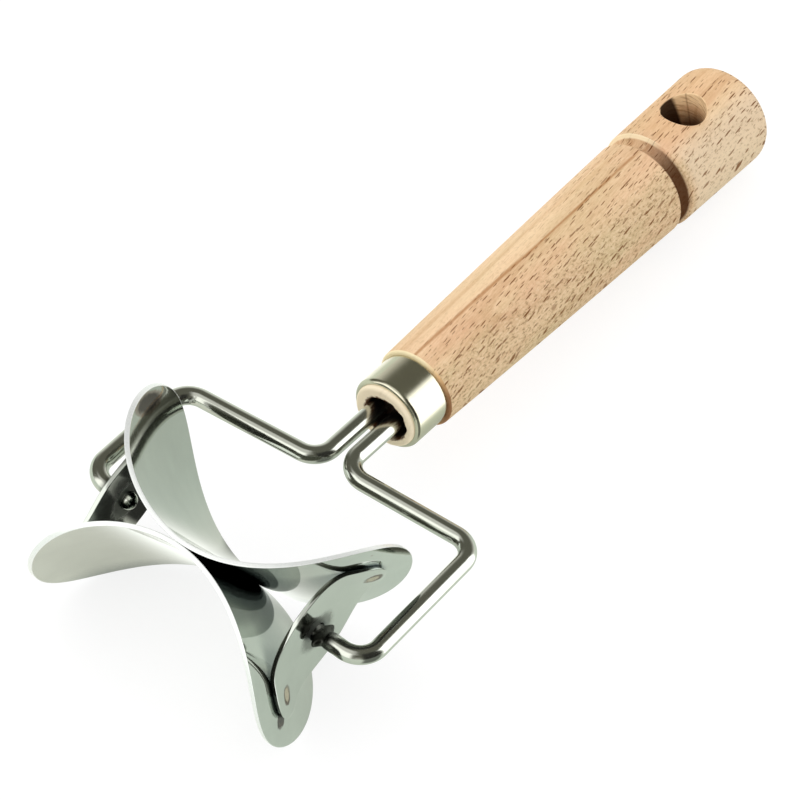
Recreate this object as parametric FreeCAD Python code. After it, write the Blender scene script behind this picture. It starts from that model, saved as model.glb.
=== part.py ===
import FreeCAD, Part
import math
import os

# Hand-held rolling clay cutter: two curved blades and two end plates form a roller,
# which spins on a fork of two wires glued into a turned handle.  Units are millimetres.
# Frame: origin at the centre of the hanging hole, on the handle's axis.
#   +X  along the roller's spin axis, to the right
#   +Y  along the handle, towards its butt
#   +Z  up, square to the plane of the wire fork
# The pieces are built with y counted from the spin axis, and moved to the frame's
# origin when they are written.

# ---------------------------------------------------------------- roller
roller_r = 23.4             # radius the cutting edges run on
roller_half_len = 30.5      # spin-axis distance from the middle to a blade tip
roller_rest_deg = 35.9      # how far the roller is turned at rest
blade_t = 1.0               # blade sheet thickness
blade_edge_exp = 2.51       # blade curve: edge exponent
blade_waist_exp = 1.854     # blade curve: waist exponent
blade_stations = 15         # points on half the blade curve, inside the roller
blade_crowding = 0.85       # exponent that spaces these points
blade_overruns = (0.8, 1.6)  # heights of the extra points beyond the roller

# ------------------------------------------------------------ end plates
plate_t = 1.0               # plate sheet thickness
plate_x = 24.7              # mid-plane of the plate at its hub
plate_half_h = 17.7         # hub to plate tip, across the roller
plate_half_w = 11.6         # half width of the plate at its hub
plate_seat = 13.4           # height where the plate starts to lie on the blade
plate_overrun = 1.2         # sheet built beyond the tip, before the outline is cut
plate_flat = 4.2            # half height of the flat round the hub
plate_sweep_steps = 9       # steps of the sweep from the flat to the seat
plate_sweep_pull = 0.9      # strength of the sweep's end tangents, times its span
plate_outline_exp = 1.62    # roundness of the lens outline
outline_count = 72          # points on the lens outline
seat_gap = 0.004            # gap between plate and blade
pivot_clearance = 0.08      # radial running clearance of the pivot hole
plate_tool_x = 10.0         # start of the tools that cut the plate along x
plate_tool_len = 30.0

# ------------------------------------------------------------- fork wires
wire_r = 2.0
wire_bend_r = 5.0           # centre-line bend radius
neck_x = 2.48               # half spacing of the two shanks
shank_end_y = 84.0          # blind end of the shanks inside the handle
right_neck_y = 35.4
right_shoulder = (35.5, 38.4)
right_foot_x = 36.9
left_neck_y = 34.1
left_shoulder = (-34.7, 30.0)
left_foot_x = -34.3
stub_end_x = 22.0           # tip of each stub's rounded end
ear_gap = 0.35              # play between a pinched ear and its end plate
ear_len = 2.2
ear_span = 7.0
ear_t = 2.3
ear_corner_r = 0.6
press_h = 2.0               # height of the block that presses each flat

# ---------------------------------------------------------------- handle
face_y = 52.0               # front end-grain face of the tenon
ferrule_front_y = 53.0
shoulder_y = 62.6           # back of the ferrule, front of the handle's shoulder
tenon_r = 7.85
tenon_nose_r = 7.4
tenon_nose_edge = 0.8       # rounding of the tenon's front edge
ferrule_r = 8.45
ferrule_lip_r = 0.95        # rolled front edge
ferrule_lip_inset = 0.02    # how far back the lip's front lies at the tenon nose
ferrule_back_edge = 0.2     # rounding of the back rim
handle_front_r = 9.3
handle_rear_r = 11.35       # at the groove
handle_bulge = 0.12         # fullness of the handle's cone
shoulder_chamfer = 0.55
groove_front_y = 139.3
groove_back_y = 143.1
groove_depth = 1.3
knob_front_r = 11.65
knob_rear_r = 11.94
butt_y = 173.9
butt_edge_r = 4.8
butt_dome = 0.8
bore_r = 5.05
bore_x = 0.5                # the bore is drilled a little off the handle's axis
bore_end_y = 86.0
bore_point_ratio = 0.6      # height of the drill point over the bore radius
glue_face_y = 56.5          # adhesive is recessed behind the tenon face
hang_hole_r = 5.0
hang_hole_y = 155.6
hang_hole_roll_deg = 99.0   # direction of the hole's axis in the XZ plane
hang_lip_r = 0.35

# Cone: (distance behind the shoulder, share of the bulge)
cone_stations = [(20, 0.7), (42, 1.0), (62, 0.8)]
# Groove floor: (share of the groove depth, y)
groove_stations = [
    (0.0, groove_front_y),
    (0.34, groove_front_y + 0.42),
    (0.76, groove_front_y + 1.15),
    (1.0, groove_front_y + 2.15),
    (0.88, groove_back_y - 0.70),
]

V = FreeCAD.Vector
centre = V(0, 0, 0)
x_axis = V(1, 0, 0)
y_axis = V(0, 1, 0)


# --------------------------------------------------------------- helpers
def spline(points):
    curve = Part.BSplineCurve()
    curve.interpolate(points)
    return curve.toShape()


def arc(start, middle, end):
    return Part.Arc(start, middle, end).toShape()


def sorted_face(edges):
    return Part.Face(Part.Wire(Part.__sortEdges__(edges)))


def largest_solid(shape):
    return max(shape.Solids, key=lambda solid: solid.Volume)


def curve_samples(edge, count, start=0.0):
    """(point, tangent, normal) along the edge from the share start of its range.

    The normal lies to the left of the direction of travel.
    """
    curve = edge.Curve
    first, last = edge.ParameterRange
    samples = []
    for i in range(count):
        share = start + (1.0 - start) * i / (count - 1.0)
        t = first + (last - first) * share
        tangent = curve.tangent(t)[0]
        samples.append((curve.value(t), tangent, V(-tangent.y, tangent.x, 0)))
    return samples


def offset_spline(edge, distance, count):
    return spline([point + normal * distance
                   for point, tangent, normal in curve_samples(edge, count)])


def curved_sheet(mid_edge, thickness, half_depth, count):
    """Sheet either side of a middle curve in the XY plane, extruded along z."""
    left = offset_spline(mid_edge, thickness / 2.0, count)
    right = offset_spline(mid_edge, -thickness / 2.0, count)
    start_cap = Part.makeLine(left.Vertexes[0].Point, right.Vertexes[0].Point)
    end_cap = Part.makeLine(left.Vertexes[-1].Point, right.Vertexes[-1].Point)
    face = sorted_face([left, end_cap, right, start_cap])
    face.translate(V(0, 0, -half_depth))
    return face.extrude(V(0, 0, 2 * half_depth))


# ---------------------------------------------------------------- blades
def blade_mid_curve():
    """Middle curve of the blade sheet; y is the height across the roller.

    It is flat at the waist and stands square to the spin axis at the tips.
    """
    half = []
    for i in range(blade_stations):
        to_tip = (1.0 - i / (blade_stations - 1.0)) ** blade_crowding
        x = roller_half_len * (1.0 - to_tip ** blade_edge_exp) ** (1.0 / blade_waist_exp)
        rise = roller_r * math.cos(to_tip * math.pi / 2.0)
        y = blade_t / 2.0 + (1.0 - blade_t / 2.0 / roller_r) * rise
        half.append(V(x, y, 0))
    for overrun in blade_overruns:
        half.append(V(roller_half_len, roller_r + overrun, 0))
    return spline([V(-p.x, p.y, 0) for p in reversed(half[1:])] + half)


def make_blade(mid_edge):
    sheet = curved_sheet(mid_edge, blade_t, roller_r + 2, count=81)
    drum_half_len = roller_half_len + 4
    drum = Part.makeCylinder(roller_r, 2 * drum_half_len, V(-drum_half_len, 0, 0), x_axis)
    # the waist is faced off on the plane where the two blades meet
    half_space = Part.makeBox(100, 40, 80, V(-50, 0, -40))
    return largest_solid(sheet.common(drum).common(half_space))


# ------------------------------------------------------------ end plates
def seat_samples(blade_mid):
    """(point, tangent) of the plate's middle curve where it lies on the blade.

    The plate lies on the convex side of the blade.
    """
    distance = blade_t / 2.0 + plate_t / 2.0 + seat_gap
    seat = []
    for point, tangent, normal in curve_samples(blade_mid, 401, start=0.5):
        point = point - normal * distance
        if plate_seat <= point.y <= plate_half_h + plate_overrun:
            seat.append((point, tangent))
    return seat


def plate_mid_curve(blade_mid):
    """Flat at the hub, swept outwards, then following the blade."""
    seat = seat_samples(blade_mid)
    flat_end = V(plate_x, plate_flat, 0)
    seat_start, seat_tangent = seat[0]
    half = [V(plate_x, 0, 0), V(plate_x, plate_flat * 0.5, 0)]
    # cubic Hermite sweep from the end of the flat to the seat
    pull = (seat_start - flat_end).Length * plate_sweep_pull
    for i in range(plate_sweep_steps):
        s = i / plate_sweep_steps
        half.append(flat_end * (2 * s ** 3 - 3 * s ** 2 + 1)
                    + y_axis * ((s ** 3 - 2 * s ** 2 + s) * pull)
                    + seat_start * (-2 * s ** 3 + 3 * s ** 2)
                    + seat_tangent * ((s ** 3 - s ** 2) * pull))
    half += [point for point, tangent in seat[::len(seat) // 7]]
    seat_end = seat[-1][0]
    if (half[-1] - seat_end).Length > 0.2:
        half.append(seat_end)
    return spline([V(p.x, -p.y, 0) for p in reversed(half[1:])] + half)


def lens_radius(sin_a, cos_a):
    """Distance from the hub to the lens outline, found by bisection."""
    inside, outside = 0.0, 40.0
    for _ in range(60):
        middle = 0.5 * (inside + outside)
        level = ((abs(middle * sin_a) / plate_half_h) ** plate_outline_exp
                 + (abs(middle * cos_a) / plate_half_w) ** 2.0)
        if level > 1.0:
            outside = middle
        else:
            inside = middle
    return inside


def lens_prism():
    outline = []
    for i in range(outline_count):
        angle = 2 * math.pi * i / outline_count
        sin_a, cos_a = math.sin(angle), math.cos(angle)
        radius = lens_radius(sin_a, cos_a)
        outline.append(V(plate_tool_x, radius * sin_a, radius * cos_a))
    curve = Part.BSplineCurve()
    curve.interpolate(Points=outline, PeriodicFlag=True)
    return Part.Face(Part.Wire([curve.toShape()])).extrude(V(plate_tool_len, 0, 0))


def make_right_plate(blade_mid, blades):
    plate = curved_sheet(plate_mid_curve(blade_mid), plate_t, plate_half_w + 2, count=61)
    plate = plate.common(lens_prism())
    pivot = Part.makeCylinder(wire_r + pivot_clearance, plate_tool_len,
                              V(plate_tool_x, 0, 0), x_axis)
    plate = plate.cut(pivot)
    for blade in blades:
        plate = plate.cut(blade)
    return largest_solid(plate)


# ------------------------------------------------------------ fork wires
def rounded_path(corners, bend_r):
    """Straight runs through the corners, joined by arcs of radius bend_r."""
    edges = []
    run_start = corners[0]
    for before, corner, after in zip(corners, corners[1:], corners[2:]):
        back = (before - corner).normalize()
        ahead = (after - corner).normalize()
        half_angle = back.getAngle(ahead) / 2.0
        setback = bend_r / math.tan(half_angle)
        bisector = (back + ahead).normalize()
        bend_start = corner + back * setback
        bend_middle = corner + bisector * (bend_r / math.sin(half_angle) - bend_r)
        bend_end = corner + ahead * setback
        edges.append(Part.makeLine(run_start, bend_start))
        edges.append(arc(bend_start, bend_middle, bend_end))
        run_start = bend_end
    edges.append(Part.makeLine(run_start, corners[-1]))
    return Part.Wire(edges)


def make_fork_wire(side, neck_y, shoulder, foot_x):
    """side is 1 for the right wire and -1 for the left one."""
    corners = [
        V(side * neck_x, shank_end_y, 0),
        V(side * neck_x, neck_y, 0),
        V(shoulder[0], shoulder[1], 0),
        V(foot_x, 0, 0),
        V(side * (stub_end_x + wire_r), 0, 0),
    ]
    path = rounded_path(corners, wire_bend_r)
    shank_dir = (corners[1] - corners[0]).normalize()
    section = Part.Wire([Part.Circle(corners[0], shank_dir, wire_r).toShape()])
    wire = path.makePipeShell([section], True, False)
    # rounded free end of the stub
    wire = wire.fuse(Part.makeSphere(wire_r, corners[-1]))
    # pinched ears: two flats pressed into the stub, the metal spread sideways
    ear_x = plate_x + plate_t / 2.0 + ear_gap
    ear_min_x = min(side * ear_x, side * (ear_x + ear_len))
    for press_z in (ear_t / 2.0, -ear_t / 2.0 - press_h):
        press = Part.makeBox(ear_len, 3 * wire_r, press_h,
                             V(ear_min_x, -1.5 * wire_r, press_z))
        wire = wire.cut(press)
    ear = Part.makeBox(ear_len, ear_span, ear_t, V(ear_min_x, -ear_span / 2.0, -ear_t / 2.0))
    end_edges = [edge for edge in ear.Edges
                 if abs(abs(edge.CenterOfMass.y) - ear_span / 2.0) < 1e-6]
    ear = ear.makeFillet(ear_corner_r, end_edges)
    return largest_solid(wire.fuse(ear).removeSplitter())


# ------------------------------------------------------- handle and bore
def chain(points):
    """Straight edges from each point to the next."""
    return [Part.makeLine(start, end) for start, end in zip(points, points[1:])]


def front_round(outer_r, front_y, radius):
    """Start, middle and end of a quarter round, from the front face to the side."""
    inset = radius - radius * math.sqrt(0.5)
    return [V(outer_r - radius, front_y, 0),
            V(outer_r - inset, front_y + inset, 0),
            V(outer_r, front_y + radius, 0)]


def handle_profile():
    """Half section of the handle, radius along x, from the front to the butt."""
    nose = front_round(tenon_nose_r, face_y, tenon_nose_edge)
    lip_back_y = ferrule_front_y + ferrule_lip_r
    cone_start = V(handle_front_r, shoulder_y + shoulder_chamfer, 0)
    slope = (handle_rear_r - handle_front_r) / (groove_front_y - shoulder_y)
    cone = [V(handle_front_r + slope * along + handle_bulge * share, shoulder_y + along, 0)
            for along, share in cone_stations]
    groove = [V(handle_rear_r - share * groove_depth, y, 0) for share, y in groove_stations]
    knob_edge = [V(knob_front_r - 0.35, groove_back_y, 0),
                 V(knob_front_r - 0.10, groove_back_y + 0.11, 0),
                 V(knob_front_r, groove_back_y + 0.36, 0)]
    # rounded edge of the butt, stopping short of 90 degrees where the dome starts
    round_x = knob_rear_r - butt_edge_r
    round_y = butt_y - butt_dome - butt_edge_r
    butt_edge = [V(round_x + butt_edge_r * math.cos(math.radians(degrees)),
                   round_y + butt_edge_r * math.sin(math.radians(degrees)), 0)
                 for degrees in (0, 42, 84)]
    butt_centre = V(0, butt_y, 0)
    front_centre = V(0, face_y, 0)

    edges = chain([front_centre, nose[0]])
    edges.append(arc(*nose))
    edges += chain([
        nose[-1],
        V(tenon_nose_r, lip_back_y, 0),
        V(tenon_r, lip_back_y, 0),
        V(tenon_r, shoulder_y, 0),
        V(handle_front_r - shoulder_chamfer, shoulder_y, 0),
        cone_start,
    ])
    edges.append(spline([cone_start] + cone + [groove[0]]))
    edges.append(spline(groove))
    edges += chain([groove[-1], knob_edge[0]])
    edges.append(arc(*knob_edge))
    edges += chain([knob_edge[-1], butt_edge[0]])
    edges.append(arc(*butt_edge))
    dome_middle = V(round_x * 0.55, butt_y - butt_dome * 0.30, 0)
    edges.append(spline([butt_edge[-1], dome_middle, butt_centre]))
    edges += chain([butt_centre, front_centre])
    return sorted_face(edges)


def bore_fill(front_y):
    """The bore from front_y back to its drill-point end."""
    barrel = Part.makeCylinder(bore_r, bore_end_y - front_y, V(bore_x, front_y, 0), y_axis)
    point = Part.makeCone(bore_r, 0.0, bore_r * bore_point_ratio,
                          V(bore_x, bore_end_y, 0), y_axis)
    return barrel.fuse(point)


def make_handle():
    handle = handle_profile().revolve(centre, y_axis, 360.0)
    handle = handle.cut(bore_fill(face_y - 5))
    # cross-drilled hanging hole
    roll = math.radians(hang_hole_roll_deg)
    hole_dir = V(math.cos(roll), 0, math.sin(roll))
    hole_start = V(0, hang_hole_y, 0) - hole_dir * 30
    handle = handle.cut(Part.makeCylinder(hang_hole_r, 60, hole_start, hole_dir))
    mouths = [edge for edge in handle.Edges
              if abs(edge.CenterOfMass.y - hang_hole_y) < 2.0 and 20 < edge.Length < 35]
    # the fillet can fail on these edges; the mouths then stay sharp
    try:
        handle = handle.makeFillet(hang_lip_r, mouths)
    except Exception:
        pass
    return largest_solid(handle)


def make_ferrule():
    back_outer = V(ferrule_r, shoulder_y, 0)
    lip = front_round(ferrule_r, ferrule_front_y, ferrule_lip_r)
    lip_back_y = ferrule_front_y + ferrule_lip_r
    edges = chain([back_outer, lip[-1]])
    edges.append(arc(*reversed(lip)))
    edges += chain([
        lip[0],
        V(tenon_nose_r, ferrule_front_y + ferrule_lip_inset, 0),
        V(tenon_nose_r, lip_back_y, 0),
        V(tenon_r, lip_back_y, 0),
        V(tenon_r, shoulder_y, 0),
        back_outer,
    ])
    ferrule = sorted_face(edges).revolve(centre, y_axis, 360.0)
    back_rim = [edge for edge in ferrule.Edges
                if abs(edge.CenterOfMass.y - shoulder_y) < 1e-6
                and edge.Curve.TypeId == "Part::GeomCircle"
                and abs(edge.Curve.Radius - ferrule_r) < 1e-6]
    return largest_solid(ferrule.makeFillet(ferrule_back_edge, back_rim))


def make_adhesive(left_wire, right_wire):
    """Fills the bore round the two shanks."""
    glue = bore_fill(glue_face_y).cut(left_wire).cut(right_wire)
    return largest_solid(glue.removeSplitter())


# -------------------------------------------------------------- assembly
blade_mid = blade_mid_curve()
blade_a = make_blade(blade_mid)
blade_b = blade_a.copy()
blade_b.rotate(centre, x_axis, 180.0)
right_plate = make_right_plate(blade_mid, (blade_a, blade_b))
left_plate = right_plate.copy()
left_plate.rotate(centre, y_axis, 180.0)
for piece in (blade_a, blade_b, right_plate, left_plate):
    piece.rotate(centre, x_axis, roller_rest_deg)

right_wire = make_fork_wire(1, right_neck_y, right_shoulder, right_foot_x)
left_wire = make_fork_wire(-1, left_neck_y, left_shoulder, left_foot_x)

pieces = {
    "handle": make_handle(),
    "ferrule": make_ferrule(),
    "bore_adhesive": make_adhesive(left_wire, right_wire),
    "left_fork_wire": left_wire,
    "right_fork_wire": right_wire,
    "cutter_blade_a": blade_a,
    "cutter_blade_b": blade_b,
    "left_end_plate": left_plate,
    "right_end_plate": right_plate,
}
os.makedirs("parts", exist_ok=True)
for name, piece in pieces.items():
    piece.translate(V(0, -hang_hole_y, 0))
    piece.exportStep("parts/%s.step" % name)
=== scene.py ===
import math
from types import SimpleNamespace

import bpy
import bmesh
import numpy as np
from mathutils import Matrix, Vector


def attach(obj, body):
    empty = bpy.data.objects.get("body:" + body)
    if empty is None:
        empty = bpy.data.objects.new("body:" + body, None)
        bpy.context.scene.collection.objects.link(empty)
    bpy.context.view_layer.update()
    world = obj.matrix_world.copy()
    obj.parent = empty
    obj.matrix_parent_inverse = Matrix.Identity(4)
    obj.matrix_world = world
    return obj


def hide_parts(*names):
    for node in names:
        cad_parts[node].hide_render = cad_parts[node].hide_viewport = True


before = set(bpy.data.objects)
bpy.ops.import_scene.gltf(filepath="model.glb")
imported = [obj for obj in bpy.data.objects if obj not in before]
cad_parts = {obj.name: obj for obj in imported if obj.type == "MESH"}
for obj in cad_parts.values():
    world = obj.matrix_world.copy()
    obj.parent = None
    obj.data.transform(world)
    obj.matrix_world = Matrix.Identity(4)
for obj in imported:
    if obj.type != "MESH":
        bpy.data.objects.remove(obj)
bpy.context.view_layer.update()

MM = 0.001

# ------------------------------------------------------------------ sizes, mm
EDGE_R = 23.399                 # cutting edge, a hair under the CAD's 23.4
BLADE_HALF = 30.5               # waist to blade tip along the spin axis
BLADE_T = 1.0
BLADE_POWER, BLADE_ROOT = 2.51, 1.854    # exponents of the blade curve
BLADE_ARRIS = 0.10
BLADE_ROWS = 161                # tip to tip
ROLL = math.radians(35.9)       # roller turn at rest

PLATE_T = 1.0
PLATE_X = 24.7                  # mid-plane at the hub
PLATE_HALF_H, PLATE_HALF_W = 17.7, 11.6
PLATE_POWER = 1.62              # exponent of the outline along its height
PLATE_SEAT = 13.4               # height where the plate meets the blade
PLATE_FLAT = 4.2                # half height of the flat hub
PLATE_GAP = 0.004               # between plate and blade sheets
PLATE_ARRIS = 0.09
PIVOT_R = 2.08
ARRIS_MID = 0.29                # share of an arris cut away at its middle

WIRE_R = 1.992                  # a hair under the CAD's 2.0
BEND_R = 5.0
NECK_X = 2.48
WIRE_START_Y = 84.0             # inside the handle
EAR_START = PLATE_X + PLATE_T / 2 + 0.35    # pinched ears on the stubs, along X
EAR_END = EAR_START + 2.2
EAR_HALF_W, EAR_HALF_T = 3.48, 1.15

FACE_Y, FERRULE_Y, SHOULDER_Y = 52.0, 53.0, 62.6
NOSE_R, NOSE_EASE = 7.4, 0.8
TENON_R = 7.85
FERRULE_R, FERRULE_LIP = 8.45, 0.95
FERRULE_BORE_R = 7.86
BORE_R, BORE_X = 5.05, 0.5
GRIP_FRONT_R, GRIP_REAR_R, GRIP_SWELL = 9.3, 11.35, 0.12
GRIP_EASE = 0.55
GROOVE_START, GROOVE_END, GROOVE_DEPTH = 139.3, 143.1, 1.3
KNOB_START_R, KNOB_END_R = 11.65, 11.94
KNOB_EASE = 0.36
BUTT_Y, BUTT_EASE, BUTT_DOME = 173.9, 4.8, 0.8
KNOB_END_Y = BUTT_Y - BUTT_DOME - BUTT_EASE
HANG_Y, HANG_R, HANG_LIP = 155.6, 5.0, 0.35
HANG_ROLL = math.radians(99.0)
ORIGIN_Y = -HANG_Y              # shift from the roller's middle to the frame's origin


# --------------------------------------------------------------- mesh helpers
def make_mesh(name, points, faces, sharp=40.0, merge=1e-7):
    """A smooth-shaded object from points in mm; sharp is in degrees, merge in metres."""
    mesh = bpy.data.meshes.new(name)
    placed = (np.asarray(points, float) + np.array([0.0, ORIGIN_Y, 0.0])) * MM
    mesh.from_pydata([tuple(point) for point in placed], [], faces)
    mesh.update()
    bm = bmesh.new()
    bm.from_mesh(mesh)
    bmesh.ops.remove_doubles(bm, verts=bm.verts, dist=merge)
    bmesh.ops.dissolve_degenerate(bm, dist=merge * 0.5, edges=bm.edges)
    bmesh.ops.recalc_face_normals(bm, faces=bm.faces)
    bm.to_mesh(mesh)
    bm.free()
    shade_smooth(mesh, sharp)
    piece = bpy.data.objects.new(name, mesh)
    bpy.context.scene.collection.objects.link(piece)
    return piece


def shade_smooth(mesh, sharp):
    for polygon in mesh.polygons:
        polygon.use_smooth = True
    mesh.set_sharp_from_angle(angle=math.radians(sharp))


def grid_faces(rows, cols, base=0, closed=False):
    """Quads over rows of points; closed joins each row's end to its start."""
    faces = []
    for i in range(rows - 1):
        for j in range(cols if closed else cols - 1):
            j2 = (j + 1) % cols
            faces.append((base + i * cols + j, base + i * cols + j2,
                          base + (i + 1) * cols + j2, base + (i + 1) * cols + j))
    return faces


def mesh_from_rings(name, rings, sharp, merge):
    points = np.stack(rings)
    faces = grid_faces(len(rings), points.shape[1], closed=True)
    return make_mesh(name, points.reshape(-1, 3), faces, sharp, merge)


def circle(segments):
    return np.linspace(0, 2 * np.pi, segments, endpoint=False)


def revolve(name, profile, sharp, segments=224):
    """Turns (radius, y) points round the Y axis."""
    angle = circle(segments)
    rings = []
    for radius, y in profile:
        radius = max(radius, 1e-5)
        rings.append(np.stack([radius * np.cos(angle), np.full(segments, y),
                               radius * np.sin(angle)], 1))
    return mesh_from_rings(name, rings, sharp, merge=2e-5)


def arc(centre, radius, start, end, count):
    """Points on an arc between two angles in degrees."""
    angles = np.radians(np.linspace(start, end, count))
    return [(centre[0] + radius * math.cos(a), centre[1] + radius * math.sin(a)) for a in angles]


def arc_length(points):
    return np.r_[0, np.cumsum(np.linalg.norm(np.diff(points, axis=0), axis=1))]


def resample(points, step):
    length = arc_length(points)
    count = max(2, int(round(length[-1] / step)) + 1)
    stations = np.linspace(0, length[-1], count)
    return np.stack([np.interp(stations, length, points[:, k]) for k in range(2)], 1)


def turned(x, u, v, angle):
    """Roller coordinates (x, u, v) turned round the spin axis into x, y, z."""
    c, s = math.cos(angle), math.sin(angle)
    return np.stack([x, u * c - v * s, u * s + v * c], -1)


def eased_edge(thickness, arris, middle):
    """(height off the mid surface, inset) down a sheet's edge, between its two faces."""
    upper = [(thickness / 2 - arris * ARRIS_MID, arris * ARRIS_MID),
             (thickness / 2 - arris, 0.0)]
    lower = [(-height, inset) for height, inset in reversed(upper)]
    return upper + [(height, 0.0) for height in middle] + lower


# ---------------------------------------------------------------- blade curve
def smoothed(values):
    """Nine-point running mean with mirrored ends."""
    padded = np.r_[2 * values[0] - values[8:4:-1], values, 2 * values[-1] - values[-2:-6:-1]]
    return np.convolve(padded, np.ones(9) / 9.0, "valid")


def blade_curve():
    """The blade's mid line, left tip to right tip, at even steps with its unit tangents."""
    sweep = np.concatenate([np.linspace(0.0, 0.05, 60)[:-1], np.linspace(0.05, 1.0, 900)])
    x = BLADE_HALF * np.power(np.clip(1 - np.power(sweep, BLADE_POWER), 0, 1), 1 / BLADE_ROOT)
    u = BLADE_T / 2 + (1 - BLADE_T / 2 / EDGE_R) * EDGE_R * np.cos(sweep * np.pi / 2)
    half = np.stack([x, u], 1)[::-1]
    # straight run past the cutting edge, so that offset layers still cross it
    beyond = np.array([[BLADE_HALF, EDGE_R + rise] for rise in (0.4, 0.8, 1.6)])
    half = np.concatenate([half, beyond])
    curve = np.concatenate([half[:0:-1] * [-1, 1], half])
    length = arc_length(curve)
    keep = np.r_[True, np.diff(length) > 1e-9]
    curve, length = curve[keep], length[keep]
    stations = np.linspace(0, length[-1], 1601)
    x = np.interp(stations, length, curve[:, 0])
    u = np.interp(stations, length, curve[:, 1])
    tangent_x = smoothed(np.gradient(x, stations))
    tangent_u = smoothed(np.gradient(u, stations))
    norm = np.hypot(tangent_x, tangent_u)
    return stations, x, u, tangent_x / norm, tangent_u / norm


CURVE_S, CURVE_X, CURVE_U, TANGENT_X, TANGENT_U = blade_curve()
NORMAL_X, NORMAL_U = -TANGENT_U, TANGENT_X        # towards the hollow side


def blade_layer(height):
    """Rows of x, u and half width of the layer that far off the mid surface, tip to tip."""
    layer_x, layer_u = CURVE_X + NORMAL_X * height, CURVE_U + NORMAL_U * height
    inside = np.where(layer_u <= EDGE_R)[0]

    def edge_station(i, j):
        share = (EDGE_R - layer_u[i]) / (layer_u[j] - layer_u[i])
        return CURVE_S[i] + share * (CURVE_S[j] - CURVE_S[i])
    start = edge_station(inside[0], inside[0] - 1)
    end = edge_station(inside[-1], inside[-1] + 1)
    # rows crowd towards both tips, where the outline turns fastest
    share = 0.5 - 0.5 * np.cos(np.pi * np.linspace(0, 1, BLADE_ROWS))
    share = 0.72 * share + 0.28 * (0.5 - 0.5 * np.cos(np.pi * share))
    stations = start + (end - start) * share
    x = np.interp(stations, CURVE_S, layer_x)
    u = np.interp(stations, CURVE_S, layer_u)
    half_width = np.sqrt(np.clip(EDGE_R * EDGE_R - u * u, 0, None))
    half_width[0] = half_width[-1] = 0.0
    return x, u, half_width


def blade(name, angle):
    grids = []
    # the two faces, with a narrow strip of quads along each edge
    across = np.linspace(-1, 1, 41)
    for height in (BLADE_T / 2, -BLADE_T / 2):
        x, u, half_width = blade_layer(height)
        rim = np.clip(half_width - BLADE_ARRIS, 0, None)[:, None]
        inner = np.clip(half_width - BLADE_ARRIS - 0.16, 0, None)[:, None]
        v = np.concatenate([-rim, across[None, :] * inner, rim], 1)
        x, u = (np.repeat(values[:, None], v.shape[1], 1) for values in (x, u))
        grids.append(turned(x, u, v, angle))
    # ground edge: a rounded arris, the flat land, a rounded arris
    section = [(BLADE_T / 2, BLADE_ARRIS)]
    section += eased_edge(BLADE_T, BLADE_ARRIS, middle=(0.18, -0.18))
    section += [(-BLADE_T / 2, BLADE_ARRIS)]
    for side in (1, -1):
        columns = []
        for height, inset in section:
            x, u, half_width = blade_layer(height)
            v = side * np.clip(half_width - inset, 0, None)
            columns.append(turned(x, u, v, angle))
        grids.append(np.stack(columns, 1))
    faces, base = [], 0
    for grid in grids:
        faces += grid_faces(grid.shape[0], grid.shape[1], base)
        base += grid.shape[0] * grid.shape[1]
    points = np.concatenate([grid.reshape(-1, 3) for grid in grids])
    return make_mesh(name, points, faces, sharp=52.0, merge=2e-5)


# ------------------------------------------------------------------ end plate
def plate_profile():
    """(x, u) of the plate's mid line: flat at the hub, then swept out onto the blade."""
    offset = BLADE_T / 2 + PLATE_T / 2 + PLATE_GAP
    x, u = CURVE_X - NORMAL_X * offset, CURVE_U - NORMAL_U * offset
    seated = (CURVE_X > 5) & (u >= PLATE_SEAT) & (u <= PLATE_HALF_H + 1.2)
    seat = np.stack([x[seated], u[seated]], 1)
    start, start_way = np.array([PLATE_X, PLATE_FLAT]), np.array([0.0, 1.0])
    end, end_way = seat[0], np.array([TANGENT_X[seated][0], TANGENT_U[seated][0]])
    pull = np.linalg.norm(end - start) * 0.9
    s = np.linspace(0, 1, 60)[:, None]
    sweep = ((2 * s**3 - 3 * s**2 + 1) * start + (s**3 - 2 * s**2 + s) * pull * start_way
             + (-2 * s**3 + 3 * s**2) * end + (s**3 - s**2) * pull * end_way)
    half = np.concatenate([[[PLATE_X, 0.0]], sweep, seat[1:]])
    return resample(np.concatenate([half[:0:-1] * [1, -1], half]), step=0.1)


def plate_outline(sines, cosines):
    """Outline radius at each angle, found by bisection."""
    low, high = np.zeros(len(sines)), np.full(len(sines), 40.0)
    for _ in range(60):
        middle = 0.5 * (low + high)
        reach = ((np.abs(middle * sines) / PLATE_HALF_H) ** PLATE_POWER
                 + (np.abs(middle * cosines) / PLATE_HALF_W) ** 2)
        low = np.where(reach > 1, low, middle)
        high = np.where(reach > 1, middle, high)
    return low


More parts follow.
